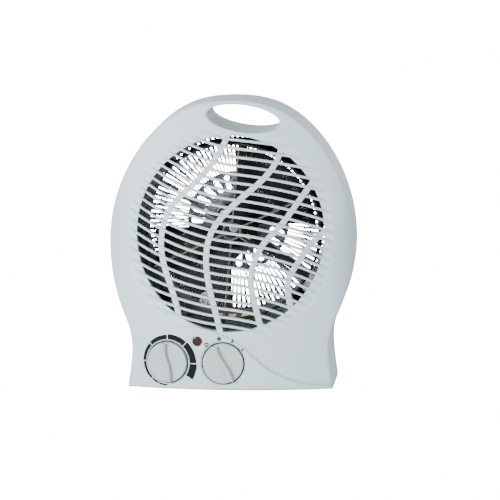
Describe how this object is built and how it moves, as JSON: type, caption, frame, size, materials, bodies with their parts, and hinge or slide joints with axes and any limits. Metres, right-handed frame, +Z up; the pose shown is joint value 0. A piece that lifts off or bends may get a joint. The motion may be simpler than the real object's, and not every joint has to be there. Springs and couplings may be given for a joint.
{
  "type": "fan heater",
  "caption": "Upright egg-shaped fan heater with a round louvred grille, a handle slot, thermostat and heat selector knobs and a neon light.",
  "frame": {"origin": "on the floor, under the middle of the casing's outline", "axes": "+Z up, -Y out of the grille, +X to the right seen from the front"},
  "size_m": [0.215, 0.1323, 0.251],
  "materials": {
    "air_duct": "moulded black",
    "bimetal_strip": "bimetal",
    "casing_screws": "zinc plated",
    "clamp_posts": "white nylon",
    "clamp_screws": "zinc plated",
    "contact_blade": "plain",
    "cord_clamp": "white nylon",
    "cord_gland": "matte",
    "duct_screws": "zinc plated",
    "element_tabs": "plain",
    "fan_impeller": "moulded black",
    "front_shell": "fine satin texture",
    "impeller_clip": "zinc plated",
    "inner_coil": "resistance wire",
    "mica_frame": "mica board",
    "motor_bearings": "plain",
    "motor_front_bracket": "zinc plated",
    "motor_rear_bracket": "zinc plated",
    "motor_rotor": "cast cage",
    "motor_screws": "zinc plated",
    "motor_shaft": "zinc plated",
    "motor_spacers": "zinc plated",
    "motor_stator": "zinc plated",
    "motor_winding": "enamelled copper",
    "neon_lamp": "clear",
    "neon_lens": "translucent red",
    "outer_coil": "resistance wire",
    "rear_shell": "fine satin texture",
    "rubber_feet": "matte",
    "switch_housing": "moulded black",
    "switch_knob": "satin",
    "switch_rotor": "moulded black",
    "switch_screws": "zinc plated",
    "switch_tabs": "plain",
    "terminal_block": "white nylon",
    "terminal_screws": "zinc plated",
    "thermal_cutout": "zinc plated",
    "thermal_fuse": "tinned",
    "thermostat_bushing": "plain",
    "thermostat_frame": "zinc plated",
    "thermostat_knob": "satin",
    "thermostat_nut": "zinc plated",
    "thermostat_spindle": "plain",
    "thermostat_stack": "unglazed",
    "thermostat_tabs": "plain",
    "winding_bobbin": "white nylon"
  },
  "bodies": {
    "casing": {"air_duct": "air_duct", "bimetal_strip": "bimetal_strip", "casing_screws": "casing_screws", "clamp_posts": "clamp_posts", "clamp_screws": "clamp_screws", "contact_blade": "contact_blade", "cord_clamp": "cord_clamp", "cord_gland": "cord_gland", "duct_screws": "duct_screws", "element_tabs": "element_tabs", "front_shell": "front_shell", "inner_coil": "inner_coil", "mica_frame": "mica_frame", "motor_bearings": "motor_bearings", "motor_front_bracket": "motor_front_bracket", "motor_rear_bracket": "motor_rear_bracket", "motor_screws": "motor_screws", "motor_spacers": "motor_spacers", "motor_stator": "motor_stator", "motor_winding": "motor_winding", "neon_lamp": "neon_lamp", "neon_lens": "neon_lens", "outer_coil": "outer_coil", "rear_shell": "rear_shell", "rubber_feet": "rubber_feet", "switch_housing": "switch_housing", "switch_screws": "switch_screws", "switch_tabs": "switch_tabs", "terminal_block": "terminal_block", "terminal_screws": "terminal_screws", "thermal_cutout": "thermal_cutout", "thermal_fuse": "thermal_fuse", "thermostat_bushing": "thermostat_bushing", "thermostat_frame": "thermostat_frame", "thermostat_nut": "thermostat_nut", "thermostat_stack": "thermostat_stack", "thermostat_tabs": "thermostat_tabs", "winding_bobbin": "winding_bobbin"},
    "thermostat_control": {"thermostat_knob": "thermostat_knob", "thermostat_spindle": "thermostat_spindle"},
    "heat_selector": {"switch_knob": "switch_knob", "switch_rotor": "switch_rotor"},
    "fan_rotor": {"fan_impeller": "fan_impeller", "impeller_clip": "impeller_clip", "motor_shaft": "motor_shaft", "motor_rotor": "motor_rotor"}
  },
  "joints": [
    {"name": "fan_spin", "type": "hinge", "parent": "casing", "child": "fan_rotor", "pos_m": [0, 0.007, 0.136], "axis": [0, 1, 0], "continuous": true},
    {"name": "thermostat_turn", "type": "hinge", "parent": "casing", "child": "thermostat_control", "pos_m": [-0.054, -0.05575, 0.024], "axis": [0.225, 0.9735, 0.0413], "range_deg": [-170, 115]},
    {"name": "switch_turn", "type": "hinge", "parent": "casing", "child": "heat_selector", "pos_m": [-0.005, -0.06186, 0.024], "axis": [0.0208, 0.9989, 0.042], "range_deg": [-18, 78]}
  ]
}
